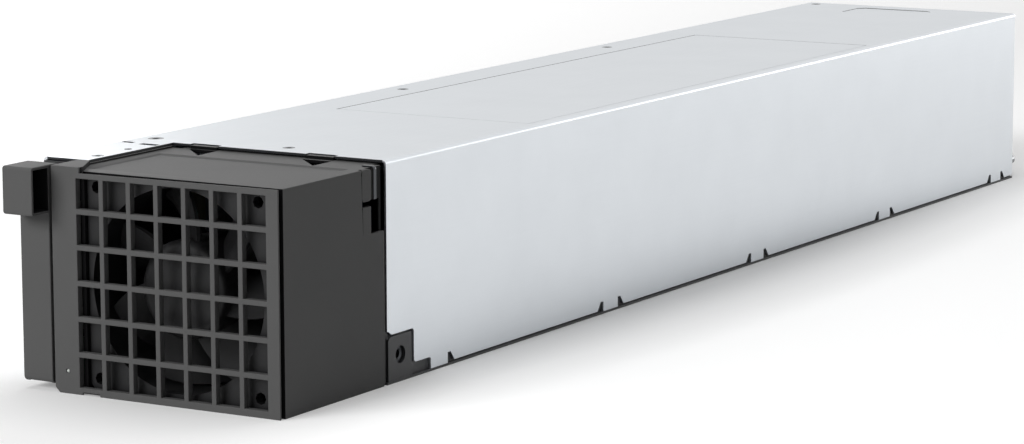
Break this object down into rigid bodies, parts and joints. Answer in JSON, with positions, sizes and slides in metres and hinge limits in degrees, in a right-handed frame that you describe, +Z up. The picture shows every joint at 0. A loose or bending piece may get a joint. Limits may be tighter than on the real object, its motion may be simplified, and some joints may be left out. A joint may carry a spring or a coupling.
{
  "type": "computer power supply unit",
  "caption": "Long hot-swap server power supply with a front fan grille, a side ejector lever, a bright steel cover and a blind-mate rear connector.",
  "frame": {"origin": "centre of the underside of the whole unit, on the surface it stands on", "axes": "+Z up; the front with its fan faces -Y; +X is to the right seen from the front"},
  "size_m": [0.117, 0.693, 0.085],
  "materials": {
    "cover_steel": "bright plated sheet, satin",
    "tray_steel": "dark powder coat, satin",
    "fastener_steel": "zinc plated",
    "spring_steel": "bright",
    "black_steel": "black zinc, satin",
    "shroud_plastic": "fine moulded grain",
    "lever_plastic": "fine moulded grain",
    "fan_plastic": "moulded, satin",
    "lens_plastic": "clear moulded",
    "board_laminate": "solder mask",
    "copper": "enamelled wire and bare bar",
    "ferrite": "ground ferrite",
    "heatsink_aluminium": "extruded, satin",
    "capacitor_sleeve": "shrunk sleeve",
    "film_case": "moulded case",
    "chip_epoxy": "moulded epoxy",
    "insulating_film": "translucent film",
    "connector_plastic": "glass-filled, matte",
    "magnet": "bonded ferrite"
  },
  "bodies": {
    "chassis": {"bottom_tray": "tray_steel", "main_cover": "cover_steel", "top_plate": "cover_steel", "cover_screws": "fastener_steel", "bulkhead_screw": "fastener_steel", "rear_panel": "cover_steel", "guide_pins": "fastener_steel", "ear_nut": "black_steel", "fan_housing": "shroud_plastic", "front_grille": "shroud_plastic", "side_catch": "black_steel", "status_lens": "lens_plastic", "led_board": "board_laminate", "fan_frame": "fan_plastic", "fan_bearings": "fastener_steel", "fan_stator": "copper", "fan_board": "board_laminate", "fan_screws": "fastener_steel", "housing_screws": "fastener_steel", "hinge_pin": "fastener_steel", "lever_bracket": "tray_steel", "bracket_rivets": "fastener_steel", "catch_spring": "spring_steel", "air_baffle": "insulating_film", "insulator_sheet": "insulating_film", "board_standoffs": "fastener_steel", "main_board": "board_laminate", "board_screws": "fastener_steel", "input_fuse": "chip_epoxy", "film_capacitors": "film_case", "filter_chokes": "copper", "inrush_relay": "chip_epoxy", "primary_heatsink": "heatsink_aluminium", "rectifier_heatsink": "heatsink_aluminium", "bridge_rectifier": "chip_epoxy", "boost_choke": "copper", "primary_transistors": "chip_epoxy", "bulk_capacitors": "capacitor_sleeve", "standby_transformer": "film_case", "transformer_cores": "ferrite", "transformer_windings": "copper", "resonant_choke": "ferrite", "output_heatsink": "heatsink_aluminium", "output_transistors": "chip_epoxy", "output_chokes": "copper", "output_capacitors": "capacitor_sleeve", "bus_bars": "copper", "control_board": "board_laminate", "control_chips": "chip_epoxy", "fan_lead": "connector_plastic", "fan_plug": "connector_plastic", "rear_connector": "connector_plastic", "power_blades": "copper", "signal_pins": "copper"},
    "rotor": {"fan_rotor": "fan_plastic", "fan_shaft": "fastener_steel", "fan_magnet": "magnet"},
    "lever": {"ejector_lever": "lever_plastic"}
  },
  "joints": [
    {"name": "fan_spin", "type": "hinge", "parent": "chassis", "child": "rotor", "pos_m": [0.01096, -0.313, 0.04175], "axis": [0, 1, 0], "continuous": true},
    {"name": "lever_swing", "type": "hinge", "parent": "chassis", "child": "lever", "pos_m": [-0.05025, -0.3293, 0.01], "axis": [1, 0, 0], "range_deg": [0, 65]}
  ]
}
